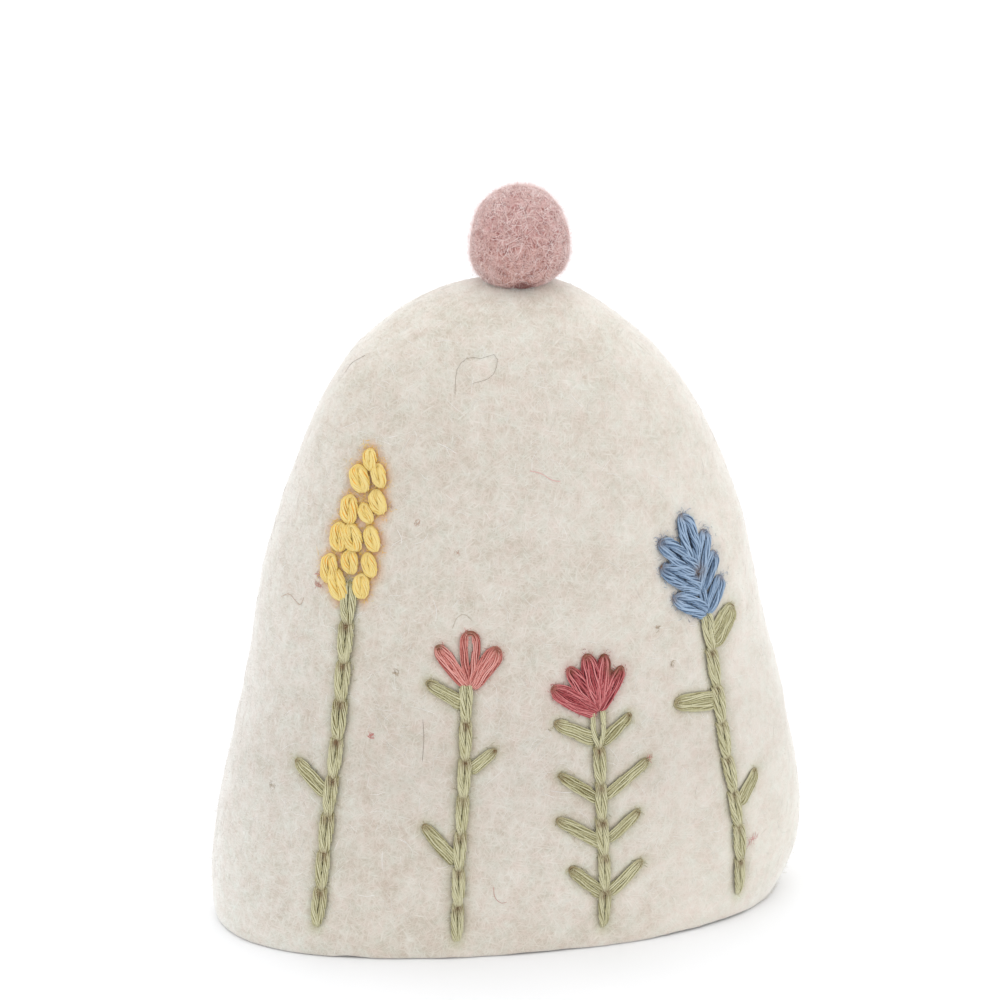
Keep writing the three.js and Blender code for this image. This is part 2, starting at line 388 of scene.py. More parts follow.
PETALS = {
    "yellow": [
        ((-27.9, 53), (-28.3, 57.8), 2.4, -0.2), ((-25.3, 53.6), (-24.9, 57.5), 2.3, -0.2),
        ((-29.3, 55.2), (-28.6, 59.7), 2.2, -0.2), ((-26.4, 56.9), (-26.3, 60.7), 2.3, -0.2),
        ((-23.7, 56.7), (-24.2, 60.5), 2.1, -0.2), ((-27.8, 59.8), (-27.1, 64.2), 2.3, -0.2),
        ((-25.7, 60.1), (-26, 64.3), 2.7, -0.1), ((-23.1, 60.3), (-23.7, 64.2), 2.2, -0.2),
        ((-26.3, 63.8), (-25.6, 68.1), 2.3, -0.2), ((-23.6, 64.1), (-24.4, 67.2), 2.1, -0.2),
        ((-22.1, 65.5), (-22.7, 69.2), 2.4, -0.2), ((-24.2, 68.2), (-24.6, 72.3), 2.6, -0.2),
        ((-21.9, 69.1), (-22.1, 72.7), 2.1, -0.2), ((-23.1, 71.2), (-22.8, 74.6), 1.9, -0.2),
    ],
    "pink": [
        ((-11.3, 41.3), (-15.5, 47.6), 2.3, -0.3), ((-10.8, 41.2), (-6.4, 47.1), 2.8, -0.4),
        ((-11, 41.6), (-10.6, 49.7), 3.0, 0.4),
    ],
    "red": [
        ((7.5, 36.2), (0.6, 40.7), 2.9, -0.3), ((7.8, 36.4), (11.6, 42.9), 2.1, -0.1),
        ((7.3, 37), (3.3, 43.5), 2.5, -0.3), ((7.7, 37), (9.9, 42.6), 1.9, -0.2),
        ((7.6, 37), (8.9, 45), 2.2, -0.3), ((7.5, 37), (6.1, 45.3), 2.6, -0.2),
    ],
    "blue": [
        ((24.7, 48.4), (23.6, 54.6), 1.5, 0), ((24.8, 48.2), (19.3, 51.8), 2.7, -0.1),
        ((24.8, 48.2), (27.9, 53.2), 2.5, 0), ((24, 51.6), (17.4, 56.4), 2.8, -0.1),
        ((23.8, 51.6), (27, 56.9), 2.5, 0), ((23.4, 54.4), (17.3, 60.1), 2.9, -0.1),
        ((23.5, 54), (25.4, 60.3), 2.4, 0.1), ((23, 56), (21.3, 63.3), 3, 0),
    ],
}
print(sum(map(len, LEAVES.values())), "leaves and", sum(map(len, PETALS.values())), "petals")

# %% [markdown]
# Embroidery cotton is a soft rope of fine strands. One smooth tube with a striped finish would be lighter,
# but seen close it looks like plastic. So a thread is a core with strands wound round it, side by side, and
# only the stretches on its upper half are made, because the rest never shows. Its width and its height may
# change on the way, and its lift is the height of its core over the felt, so that a thread can rise out of
# the wool and dive back.

# %% One thread
PACKING = 0.85
STAGGER = 0.05
HIDDEN = 0.1
SHORTEST = 4
rng = np.random.default_rng(7)


def run_along(line):
    """Distance along a line at each of its points."""
    return np.concatenate(((0,), np.cumsum(np.linalg.norm(np.diff(line, axis=0), axis=1))))


def stretches(shown):
    """First and last of each run of points that show."""
    edges = np.flatnonzero(np.diff(np.concatenate(((0,), shown.astype(int), (0,)))))
    return [(first, last) for first, last in zip(edges[::2], edges[1::2]) if last - first > SHORTEST]


def thread(line, half, tall, lift, gauge, twist, sway):
    """Tubes of one thread: rows of x, z and height, half width and height, and the core they lie on."""
    run = run_along(line)
    ahead = unit(np.gradient(line, axis=0))
    aside = np.stack((-ahead[:, 1], ahead[:, 0]), 1)
    wide, high = half - gauge / 2, tall - gauge / 2
    strands = max(round(np.pi * (wide.max() + high.max()) / (gauge * PACKING)), 6)
    core = np.column_stack((line, lift))
    tubes = [(core, wide, high, None)]
    for place in rng.uniform(0, 6) + np.arange(strands) * 2 * np.pi / strands:
        angle = place + twist * run + sway * np.sin(run * rng.uniform(0.8, 2) + rng.uniform(0, 6))
        flat = line + aside * (wide * np.sin(angle))[:, None]
        rows = np.column_stack((flat, lift + high * np.cos(angle) + rng.uniform(-STAGGER, STAGGER)))
        thin = np.full(len(run), gauge / 2 * rng.uniform(0.85, 1.1))
        for first, last in stretches(np.cos(angle) > HIDDEN):
            tubes.append((rows[first:last], thin[first:last], thin[first:last], core[first:last]))
    return tubes


def between(base, tip):
    """Length, direction and sideways direction from one place on the plan to another."""
    way = np.array(tip, float) - np.array(base, float)
    length = np.linalg.norm(way)
    along = way / length
    return length, along, np.array((-along[1], along[0]))


straight = np.linspace((0, 0), (4, 0), 20)
strands = len(thread(straight, *np.full((3, 20), 0.5), 0.3, 0, 0)) - 1
print("a thread 1 mm wide has", strands, "strands")

# %% [markdown]
# A looped stitch leaves its base, runs to the tip, turns round and comes back, so both of its legs are one
# thread. They lie close together and part only under the tip, where a small hole stays. A plain leaf shape
# would lose the groove between the legs, so the thread's own line is followed. A blunt loop is a band with
# even sides, and a large taper makes it a wedge that is widest near the tip. The base sinks into the felt,
# and so does the end of a stem's link, under the next one. A flat bed goes under the legs in the thread's
# deepest tone, which is painted shade: it stands for the dark that shows between the strands of real cotton.

# %% Looped stitches
LOOP_POINTS = 90
BED_POINTS = 12
THINNING, THIN_FOOT, THIN_TIP = 0.35, 0.6, 0.5
OPEN_GAP = 0.35
BED_DEPTH, BED_HALF_HEIGHT = -0.12, 0.14


def loop(base, tip, width, gap, gauge, twist, sway, plump, blunt, taper, foot, pinch, sink, end):
    """Tubes of a looped stitch from its base round its tip and back."""
    length, along, across = between(base, tip)
    half = (width - gap) / 4
    step = np.linspace(-0.98, 0.98, LOOP_POINTS)
    turn = np.pi * (1 + step * np.abs(step))
    bow = np.sign(np.sin(turn)) * np.abs(np.sin(turn)) ** blunt * np.sin(turn / 2) ** taper
    forward = (1 - np.cos(turn)) / 2 * (length - half)
    aside = bow / bow.max() * (width / 2 - half) * (1 - np.exp(-(forward / pinch) ** 2))
    aside = aside + foot * half * np.cos(turn / 2) * (1 - forward / length)
    line = np.array(base) + np.outer(forward, along) + np.outer(aside, across)
    at_foot = np.exp(-(forward / THIN_FOOT) ** 2)
    at_tip = np.exp(-((length - half - forward) / THIN_TIP) ** 2)
    size = half * (1 - THINNING * at_foot - THINNING * at_tip)
    lift = half * plump * (0.3 - 0.25 * at_tip) - sink * at_foot - end * at_tip
    run = np.linspace(0.1, 0.93, BED_POINTS)
    bed = np.array(base) + np.outer(run * length, along)
    bed_half = np.maximum(width / 2 - half * 1.1, 0.1) * np.sin(np.pi * run) ** 0.5 * run ** (taper / 2) + 0.1
    bed = np.column_stack((bed, np.full(BED_POINTS, BED_DEPTH)))
    # The bed takes the core's darkest tone in tube(), painted shade between the legs.
    flat = (bed, bed_half, np.full(BED_POINTS, BED_HALF_HEIGHT), None)
    body = thread(line, size, size * plump, lift, gauge, twist, sway)
    return body if gap > OPEN_GAP else [flat, *body]


print("a petal has", len(loop((0, 0), (4, 4), 2.6, 0.1, 0.3, 0, 0, 1, 0.8, 1, 0.4, 0.3, 0.5, 0)), "tubes")

# %% [markdown]
# Each kind of stitch has its own thread: the green of stems and leaves is thin, red is fine and flat, and
# yellow and blue are plump. Each flower could be finished before the next is begun, but the felt comes
# first and has to be dented under them all. So the plan is worked through once, and every thread is kept
# under its piece's name until its piece is made.

# %% All the threads
KIND_PARTS = ("gauge", "twist", "sway", "plump", "blunt", "taper", "foot", "pinch", "sink", "end")
KINDS = {
    "link": (0.24, 0.5, 0.15, 0.75, 0.3, 0.4, 0.2, 1.6, 0.35, 0.7),
    "leaf": (0.25, 0.12, 0.15, 0.45, 0.45, 0.3, 0.5, 0.3, 0.4, 0.2),
    "yellow": (0.25, 0.6, 0.15, 1.0, 0.85, 0.1, 0, 0.5, 0.25, 0.2),
    "pink": (0.22, 0.12, 0.15, 0.45, 0.7, 1.9, 0.4, 0.6, 0.2, 0.25),
    "red": (0.22, 0.1, 0.15, 0.5, 0.8, 0.8, 0.3, 0.3, 0.1, 0.25),
    "blue": (0.26, 0.35, 0.2, 0.8, 0.75, 0.6, 0.4, 0.3, 0.15, 0.2),
}
KINDS = {kind: dict(zip(KIND_PARTS, row)) for kind, row in KINDS.items()}
LINK_LENGTH, LINK_LAP = 5.6, 1.5
LINK_WIDTH, LINK_GAP, LEAF_GAP = 2.0, -0.08, -0.45
TOP_WIDTH, TOP_GAP = 2.4, 0.65
OPEN_TOPS = ("red",)


def smooth_line(knots, count):
    """Points at even steps along a smooth line through a few knots, and its length."""
    knots = np.array(knots, float)
    padded = np.concatenate((2 * knots[:1] - knots[1:2], knots, 2 * knots[-1:] - knots[-2:-1]))
    fine = []
    for a, b, c, d in zip(padded, padded[1:], padded[2:], padded[3:]):
        t = np.linspace(0, 1, 40)[:, None]
        fine.append(b + t / 2 * (c - a + t * (2 * a - 5 * b + 4 * c - d + t * (3 * (b - c) + d - a))))
    fine = np.concatenate(fine)
    run = run_along(fine)
    even = np.linspace(0, run[-1], count)
    return np.column_stack([np.interp(even, run, part) for part in fine.T]), run[-1]


def stem_joints(plant):
    """Places on the plan where the links of a stem meet, from its foot to its top."""
    links = round(smooth_line(STEMS[plant], 2)[1] / LINK_LENGTH)
    return smooth_line(STEMS[plant], links + 1)[0]


def stem_tubes(plant):
    tubes = []
    joints = stem_joints(plant)
    for number, (low, high) in enumerate(zip(joints, joints[1:])):
        width, gap = LINK_WIDTH * rng.uniform(0.94, 1.06), LINK_GAP
        if number == len(joints) - 2 and plant in OPEN_TOPS:
            width, gap = TOP_WIDTH, TOP_GAP
        tubes += loop(low, high + between(low, high)[1] * LINK_LAP, width, gap, **KINDS["link"])
    for base, tip, width in LEAVES[plant]:
        tubes += loop(base, tip, width, LEAF_GAP, **KINDS["leaf"])
    return tubes


def flower_tubes(plant):
    tubes = []
    for base, tip, width, gap in PETALS[plant]:
        tubes += loop(base, tip, width, gap, **KINDS[plant])
    return tubes


sewn = {}
for plant in STEMS:
    sewn[plant + "_stem"] = stem_tubes(plant)
    sewn[plant + "_flower"] = flower_tubes(plant)
print({name: len(tubes) for name, tubes in sewn.items()})

# %% [markdown]
# A thread is planned flat, as on paper, and then lies on a curved wall. A Shrinkwrap modifier could press
# it on, but it would flatten the strands. So each row of x, z and height becomes a point in space: first
# the place on the bell, then out along its normal by the felt's swell and the thread's own height. The felt
# gives way under a tight stitch, so a search tree of the threads' cores lets any point of the wall find how
# near a stitch is.

# %% Threads over the felt
DENT, DENT_REACH = 0.35, 1.0
PUFF, PUFF_AT, PUFF_REACH = 0.1, 2.6, 1.2


def lay(rows):
    """Points over the felt, and the wall's directions there, for rows of x, z and height."""
    wall = on_front(rows[:, 0], rows[:, 1])
    normal = outward(wall)
    return wall + normal * (swell(wall) + rows[:, 2])[:, None], normal


cores, core_keys = [], []
for name, tubes in sewn.items():
    plant, kind = name.split("_")
    for rows in (rows[::2] for rows, wide, high, core in tubes if core is None):
        cores.append(rows)
        core_keys += ["stem" if kind == "stem" else plant] * len(rows)
cores = lay(np.concatenate(cores))[0]
tree = KDTree(len(cores))
for index, point in enumerate(cores):
    tree.insert(point, index)
tree.balance()


def nearest_stitch(points):
    """Number of the nearest point of thread to each point, and the distance to it in mm."""
    number, away = zip(*(tree.find(point)[1:] for point in points))
    return np.array(number), np.array(away)


def stitch_distance(points):
    return nearest_stitch(points)[1]


def pile(points):
    """Height of the felt's face over the even bell: its swell, dented under a stitch and puffed beside it."""
    away = stitch_distance(points)
    dent = DENT * np.exp(-(away / DENT_REACH) ** 2)
    puff = PUFF * np.exp(-((away - PUFF_AT) / PUFF_REACH) ** 2)
    return swell(points) - (dent - puff)


print(len(cores), "points of thread press into the felt")

# %% [markdown]
# A mesh can be built corner by corner, but that is slow when there are hundreds of thousands of faces. Here
# each one is made from arrays in one step: all its points, and its faces as rows of point numbers. A map of
# the surface called OFBake goes with it, so that the finishes can be printed onto it later without a slow
# unwrapping.

# %% From arrays to a piece
def piece(name, points, faces, maps, finish, slot, smooth=True, normals=None):
    """A piece that rides on the cosy: points in mm, faces as rows of corners, maps as the corners' places."""
    mesh = bpy.data.meshes.new(name)
    loops = np.concatenate([rows.ravel() for rows in faces])
    sizes = np.concatenate([np.full(len(rows), rows.shape[1]) for rows in faces])
    mesh.vertices.add(len(points))
    mesh.vertices.foreach_set("co", (points * MM).astype(np.float32).ravel())
    mesh.loops.add(len(loops))
    mesh.loops.foreach_set("vertex_index", loops.astype(np.int32))
    mesh.polygons.add(len(sizes))
    mesh.polygons.foreach_set("loop_start", (np.cumsum(sizes) - sizes).astype(np.int32))
    mesh.update(calc_edges=True)
    if smooth:
        mesh.shade_smooth()
    else:
        mesh.shade_flat()
    if normals is not None:
        mesh.normals_split_custom_set_from_vertices(normals.astype(np.float32))
    spots = np.concatenate([rows.reshape(-1, 2) for rows in maps])
    mesh.uv_layers.new(name="OFBake").data.foreach_set("uv", spots.astype(np.float32).ravel())
    mesh.materials.append(finish)
    made = bpy.data.objects.new(name, mesh)
    scene.collection.objects.link(made)
    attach(made, "root")
    print(name, "has", int((sizes - 2).sum()), "triangles")
    return made


def mark(made, name, values):
    """Keeps a number at each point of a piece, for its finish to read."""
    made.data.attributes.new(name, "FLOAT", "POINT").data.foreach_set("value", values.astype(np.float32))


def grid_faces(rows, columns, first=0, wrap=True):
    """Quads between rows of points, and the row and column of each of their corners."""
    row, column = (part.ravel() for part in np.mgrid[0:rows - 1, 0:columns if wrap else columns - 1])
    rows_at = row[:, None] + (0, 0, 1, 1)
    columns_at = column[:, None] + (0, 1, 1, 0)
    return first + rows_at * columns + columns_at % columns, rows_at, columns_at


def fan_faces(ring, tip):
    """Triangles from a ring of points to a tip."""
    return np.stack((ring, np.roll(ring, -1), np.full_like(ring, tip)), 1)


print("a strip of two rows of six points has", len(grid_faces(2, 6)[0]), "faces")

# %% [markdown]
# The felt itself is one thick shell: the outer wall, a rounded hem, and the lining side of the same wool. A
# Solidify modifier would thicken a wall too, but it would give a square hem and as many faces inside as
# outside. So each side is a grid of its own, with fewer rows in the lining because it hardly shows. The
# rows crowd at the hem and the crown, and the columns are spaced evenly round the bell at a third of its
# height.

# %% The felt's grid
COLUMNS, WALL_ROWS, LINING_ROWS = 330, 165, 30
WALL = 3.5
SPACED_AT = 30.0
UPRIGHT_BELOW = 12
HEM_ROUND, HEM_PUSH = 0.5, 0.9
HEM_WAVE = 0.25


def even_turns(count):
    fine = np.linspace(0, 2 * np.pi, 4001)
    run = run_along(bell(np.full(len(fine), SPACED_AT), fine))
    return np.interp(np.arange(count) * run[-1] / count, run, fine)


def wall_rows(rows):
    """Even bell points and their outward directions, row by row from the hem, with no crown."""
    z = CROWN * (1 - np.cos(np.pi * np.arange(rows) / rows)) / 2
    points = bell(np.repeat(z, COLUMNS), np.tile(even_turns(COLUMNS), rows))
    normal = outward(points)
    upper = np.clip(points[:, 2:] / UPRIGHT_BELOW, 0, 1)
    return points, unit(normal * upper + unit(normal * (1, 1, 0)) * (1 - upper))


def hem_lift(points):
    """How far the hem's edge waves up from the table."""
    level = points * (1, 1, 0)
    wave = lumps(level, 13, 11) + 0.7 * lumps(level, 3.5, 12)
    return HEM_WAVE * np.clip(0.3 + wave, 0, 1) * np.exp(-points[:, 2] / 5)


outer, outer_normal = wall_rows(WALL_ROWS)
low = np.clip(HEM_ROUND - outer[:, 2], 0, HEM_ROUND)
tuck = HEM_ROUND - np.sqrt(HEM_ROUND ** 2 - low ** 2)
push = HEM_PUSH * np.exp(-(outer[:, 2] / 3) ** 2) * np.clip((44 - outer[:, 0]) / 18, 0, 1)
wall_points = outer + outer_normal * (pile(outer) + push - tuck)[:, None]
inner, inner_normal = wall_rows(LINING_ROWS)
lining_points = inner + inner_normal * (swell(inner) * 0.6 - WALL)[:, None]
for rows in (wall_points, lining_points):
    rows[:, 2] = np.maximum(rows[:, 2] + hem_lift(rows), 0)
crown = np.array((0, 0, CROWN + swell(np.array([[0.0, 0.0, CROWN]]))[0]))
felt_points = np.concatenate((wall_points, [crown], lining_points, [crown - (0, 0, WALL)]))
print("the felt stands from %.2f to %.2f mm" % (felt_points[:, 2].min(), felt_points[:, 2].max()))

# %% The felt's faces
MAP_HEM, MAP_WALL = 0.22, 0.24


def shell_faces(first, rows, map_low, map_high):
    """Faces of one side of the felt with its crown, and their places on the map."""
    quads, rows_at, columns_at = grid_faces(rows, COLUMNS, first)
    high = map_low + (map_high - map_low) * rows_at / rows
    last = first + (rows - 1) * COLUMNS + np.arange(COLUMNS)
    across = (np.arange(COLUMNS)[:, None] + (0, 1, 0.5)) / COLUMNS
    edge = map_low + (map_high - map_low) * (rows - 1) / rows
    cap_high = np.broadcast_to((edge, edge, map_high), across.shape)
    spots = np.stack((columns_at / COLUMNS, high), -1), np.stack((across, cap_high), -1)
    return (quads, fan_faces(last, first + rows * COLUMNS)), spots


lining_first = len(wall_points) + 1
(quads, cap), (spots, cap_spots) = shell_faces(0, WALL_ROWS, MAP_WALL, 1.0)
lining, lining_spots = shell_faces(lining_first, LINING_ROWS, MAP_HEM, 0.0)
around = np.arange(COLUMNS)
after = np.roll(around, -1)
hem = np.stack((lining_first + around, lining_first + after, after, around), 1)
hem_spots = np.stack((
    (around[:, None] + (0, 1, 1, 0)) / COLUMNS,
    np.broadcast_to((MAP_HEM, MAP_HEM, MAP_WALL, MAP_WALL), (COLUMNS, 4)),
), -1)
felt_faces = [quads, cap, *(rows[:, ::-1] for rows in lining), hem]
felt_maps = [spots, cap_spots, *(rows[:, ::-1] for rows in lining_spots), hem_spots]
print(sum(map(len, felt_faces)), "faces in the felt")

# %% [markdown]
# Felt looks like a mat of fine wool: pale streaks that cross in all directions over darker hollows, in
# cream with faint pink and straw specks. Plain noise alone would look like plaster, so streaks at four
# angles lie over noise of a few sizes, all within a narrow range of tone. Round each stitch the wool takes
# a little of the thread's colour, from loose cotton that the needle pulled through, and the same mark holds
# painted shade and painted reflected colour from the thread. Light is painted into the wool too: it is
# lighter towards the right and darker left of the middle, lightest at the hem, darkest a little way up and
# lighter again near the crown. The sheen brightens the felt where it turns away, as fuzz does.

# %% The felt's finish
# Round each stitch the wool's colour is multiplied by these: the loose cotton's colour, with painted shade
# and painted reflected colour from the thread.
TINT_AND_SHADE = {
    "stem": (0.84, 0.86, 0.74), "yellow": (1.0, 0.66, 0.44), "pink": (0.95, 0.86, 0.83),
    "red": (0.9, 0.78, 0.77), "blue": (0.84, 0.86, 0.9),
}
TINT_AND_SHADE_REACH = 1.1


def felt_finish():
    finish = Finish("cream wool felt", {
        "Roughness": 1.0, "Specular IOR Level": 0.0, "Sheen Weight": 0.8, "Sheen Roughness": 0.5,
    })
    grain = finish.noise(1.2, detail=3.0, rough=0.7)
    hue = finish.noise(2.2, 7.0, detail=5.0, rough=0.75)
    fibre = finish.streaks(1.6, 0.18, 12)
    for turn in (57, 102, 147):
        fibre = fibre.over(finish.streaks(1.6, 0.18, turn))
    across = finish.node("ShaderNodeSeparateXYZ", {}, {0: finish.place}, "X")
    height = finish.node("ShaderNodeSeparateXYZ", {}, {0: finish.place}, "Z")
    loose = 1.0 - (across * 14.0).capped()
    pores = finish.noise(2.4, 5.0, detail=4.0, rough=0.75) - 0.5
    clouds = finish.noise(6, 3.0, rough=0.6)
    tone = (fibre - 0.61) * loose * 0.65 + grain * 0.2 + clouds * 0.25 + pores * loose * 0.25
    wool = finish.ramp(tone, [
        (0.08, paint(202, 194, 181)), (0.22, paint(220, 215, 206)), (0.38, paint(233, 230, 224)),
    ])
    tint = finish.ramp(hue, [
        (0.32, paint(252, 255, 251)), (0.5, paint(255, 252, 248)), (0.68, paint(255, 246, 242)),
    ])
    wool = finish.blend(1.0, wool, tint, "MULTIPLY")
    # Painted light: the wool is lighter and more neutral towards the right, darkest left of the middle and a
    # little cooler at both sides.
    painted_side_light = finish.ramp(across * 10.0 + 0.5, [
        (0.06, paint(249, 252, 255)), (0.25, paint(246, 245, 244)), (0.5, paint(249, 248, 248)),
        (0.8, paint(255, 255, 255)), (0.92, paint(252, 254, 253)),
    ])
    wool = finish.blend(1.0, wool, painted_side_light, "MULTIPLY")
    # Painted light: the wool is lightest at the hem, darkest near 28 mm up and lighter again near the crown.
    painted_height_light = finish.ramp(height * 10.0, [
        (0.0, paint(255, 255, 255)), (0.1, paint(251, 251, 251)), (0.28, paint(241, 240, 240)),
        (0.5, paint(246, 246, 246)), (0.8, paint(246, 246, 246)), (0.92, paint(250, 251, 251)),
    ])
    wool = finish.blend(1.0, wool, painted_height_light, "MULTIPLY")
    # The mark round the stitches: the cotton's colour with painted shade and painted reflected colour.
    stain = finish.node("ShaderNodeAttribute", {"attribute_name": "stain"}, {}, "Color")
    return finish.close(finish.blend(1.0, wool, stain, "MULTIPLY"), tone, 0.35, 0.12)


tint_and_shade_of = np.array([TINT_AND_SHADE[key] for key in core_keys])
felt = piece("felt_shell", felt_points, felt_faces, felt_maps, felt_finish(), "felt")
# Each point of the felt takes the mark of its nearest thread, fading with distance: cotton colour, painted
# shade and painted reflected colour.
number, away = nearest_stitch(felt_points)
stain = 1 - (1 - tint_and_shade_of[number]) * np.exp(-(away / TINT_AND_SHADE_REACH) ** 2)[:, None]
stain = np.column_stack((stain, np.ones(len(stain)))).astype(np.float32)
felt.data.attributes.new("stain", "FLOAT_COLOR", "POINT").data.foreach_set("color", stain.ravel())
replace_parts(felt, "felt_cap")

# %% [markdown]
# Loose wool is many thin fibres. Blender's hair could grow them, but hair is left behind when a model is
# exported. So each fibre is a needle with three sides that runs through a few points and closes to a tip at
# both ends, which makes it a true solid, and thousands are joined in one mesh from arrays. One that lies
# down is flat with a low ridge on top, and it takes the light nearly as the face under it does, or its
# edges would draw dark lines on the wool.

# %% Many fibres as one mesh
SHADES = 64


def fibres(name, paths, ups, gauge, shade, finish, slot, flat=1.0, level_light=0.0):
    """A piece of needles, one for each row of path points; shade picks each needle's colour."""
    count, stops = paths.shape[:2]
    along = unit(np.gradient(paths, axis=1))
    side = unit(np.cross(ups, along))
    lift = np.cross(along, side)
    rings, lights = [], []
    for angle in np.radians((90, 210, 330)):
        rings.append(paths + (side * np.cos(angle) + lift * np.sin(angle) * flat) * gauge[:, None, None] / 2)
        lights.append(side * np.cos(angle) + lift * np.sin(angle) + ups * level_light)
    rings, lights = (np.stack(rows, 2)[:, 1:-1].reshape(count, -1, 3) for rows in (rings, lights))
    points = np.concatenate((rings, paths[:, :1], paths[:, -1:]), 1)
    normals = unit(np.concatenate((lights, ups[:, :1], ups[:, -1:]), 1))
    per = points.shape[1]
    ring = np.arange(3)
    quads = grid_faces(stops - 2, 3)[0]
    faces = np.concatenate((
        quads[:, :3], quads[:, (0, 2, 3)],
        fan_faces(ring, per - 2)[:, ::-1], fan_faces(ring + (stops - 3) * 3, per - 1),
    ))
    all_faces = (np.arange(count)[:, None, None] * per + faces).reshape(-1, 3)
    tone = (shade * (SHADES - 1)).astype(int)
    cell = np.repeat(tone, len(faces))
    spot = np.stack((cell % 8, cell // 8), 1)[:, None] + np.array(((0.3, 0.3), (0.7, 0.3), (0.5, 0.7)))
    normals = normals.reshape(-1, 3) if level_light else None
    smooth = normals is not None
    made = piece(name, points.reshape(-1, 3), [all_faces], [spot / 8], finish, slot, smooth, normals)
    mark(made, "shade", np.repeat(tone / (SHADES - 1), per))
    return made


def fibre_finish(name, stops, sheen=0.3):
    finish = Finish(name, {
        "Roughness": 0.9, "Specular IOR Level": 0.1, "Sheen Weight": sheen, "Sheen Roughness": 0.5,
    })
    return finish.close(finish.ramp(finish.attribute("shade"), stops))


print("fibres come in", SHADES, "shades")

# %% [markdown]
# On the felt most fibres lie flat and bend a little. The finish draws the finest as streaks, and only the
# longer ones are made, because those can cross a hollow as real ones do. They are strewn evenly over the
# wall, mostly off the stitches, and set half into the felt so that they show as faint paler lines. The
# right of the front was rubbed smoother, so fewer lie there.

# %% Fibres lying on the felt
def strewn(count, draw):
    """Points spread evenly over the outer wall."""
    points = bell(CROWN * draw.uniform(0.004, 0.995, count * 3), draw.uniform(0, 2 * np.pi, count * 3))
    steep = np.maximum(np.linalg.norm(outward(points)[:, :2], axis=1), 0.15)
    area = np.linalg.norm(points[:, :2], axis=1) / steep
    keep = draw.uniform(0, area.max(), len(points)) < area
    return points[keep][:count]


def lying(points, length, bend, stops, draw):
    """Curved paths over the wall through each point, and the wall's directions there."""
    normal = outward(points)
    first = unit(np.cross(normal, draw.normal(size=points.shape)))
    second = np.cross(normal, first)
    run = np.linspace(-0.5, 0.5, stops)
    ahead = run * length[:, None]
    aside = (run ** 2 - 0.12) * (bend * length)[:, None]
    paths = points[:, None] + ahead[..., None] * first[:, None] + aside[..., None] * second[:, None]
    flat = onto_wall(paths.reshape(-1, 3))
    flat[:, 2] = np.maximum(flat[:, 2], 0.15)
    return flat.reshape(paths.shape), outward(flat).reshape(paths.shape)


WOOL_SHADES = [
    (0.0, paint(200, 192, 181)), (0.35, paint(214, 208, 200)), (0.7, paint(222, 218, 212)),
    (1.0, paint(231, 228, 224)),
]
LYING = {"flat": 0.5, "level_light": 1.0}
CLEAR_OF_STITCHES, KEPT_ON_STITCHES = 1.0, 0.1
RUBBED_AT = 60
down_finish = fibre_finish("loose cream wool", WOOL_SHADES)
LAYERS = {
    "felt_down_short": (10000, 4, (1.5, 3.5), (0.04, 0.08)),
    "felt_down_long": (6000, 5, (2.5, 6.0), (0.05, 0.1)),
}
draw = np.random.default_rng(20)
for name, (count, stops, lengths, gauges) in LAYERS.items():
    starts = strewn(count, draw)
    clear = stitch_distance(starts) > CLEAR_OF_STITCHES
    starts = starts[clear | (draw.uniform(size=len(starts)) < KEPT_ON_STITCHES)]
    starts = starts[draw.uniform(size=len(starts)) < 1 - np.clip(starts[:, 0] / RUBBED_AT, 0, 1)]
    count = len(starts)
    paths, ups = lying(starts, draw.uniform(*lengths, count), draw.normal(0, 0.8, count), stops, draw)
    raised = 0.01 - 0.28 * np.linspace(-0.5, 0.5, stops) ** 2 + draw.uniform(-0.04, 0.02, (count, 1))
    rise = pile(paths.reshape(-1, 3)).reshape(paths.shape[:2]) + raised
    fibres(
        name, paths + ups * rise[..., None], ups, draw.uniform(*gauges, count),
        np.clip(draw.normal(0.55, 0.25, count), 0, 1), down_finish, "felt", **LYING,
    )

# %% [markdown]
# A thin down of short fibres stands up from the wall and softens its outline. A bump in the finish can't
# change an outline, so these are needles too. The down is thicker along the hem, where the edge is never
# trimmed clean, and in a ring on the crown, where the ball is sewn on.

# %% Short fibres that stand up
FUZZ, SEAT_WOOL, HEM_WOOL = 10400, 400, 3000
FUZZ_LENGTH, SEAT_LENGTH = (0.4, 1.1), (0.5, 1.1)
FUZZ_GAUGE, FUZZ_ROOT = (0.03, 0.04), 0.08
SEAT_RING, HEM_BAND = (4.0, 5.4), (0.05, 0.9)
FUZZ_CLEAR = 0.9
draw = np.random.default_rng(31)
starts = strewn(FUZZ, draw)
starts = starts[stitch_distance(starts) > FUZZ_CLEAR]
turn, reach = draw.uniform(0, 2 * np.pi, SEAT_WOOL), draw.uniform(*SEAT_RING, SEAT_WOOL)
seat = np.column_stack((reach * np.cos(turn), reach * np.sin(turn), np.full(SEAT_WOOL, CROWN - 1)))
edge = bell(draw.uniform(*HEM_BAND, HEM_WOOL), draw.uniform(0, 2 * np.pi, HEM_WOOL))
starts = np.concatenate((starts, edge, onto_wall(seat)))
count = len(starts)
normal = outward(starts)
lean = unit(np.cross(normal, draw.normal(size=starts.shape)))
length = draw.uniform(*FUZZ_LENGTH, count)
length[-SEAT_WOOL:] = draw.uniform(*SEAT_LENGTH, SEAT_WOOL)
length = length[:, None, None]
run = np.linspace(0, 1, 3)[:, None]
paths = starts[:, None] + length * (normal[:, None] * (run * 0.9) + lean[:, None] * (run ** 1.5 * 0.45))
paths += (normal * (pile(starts) - FUZZ_ROOT)[:, None])[:, None]
paths[..., 2] = np.maximum(paths[..., 2], 0.1)
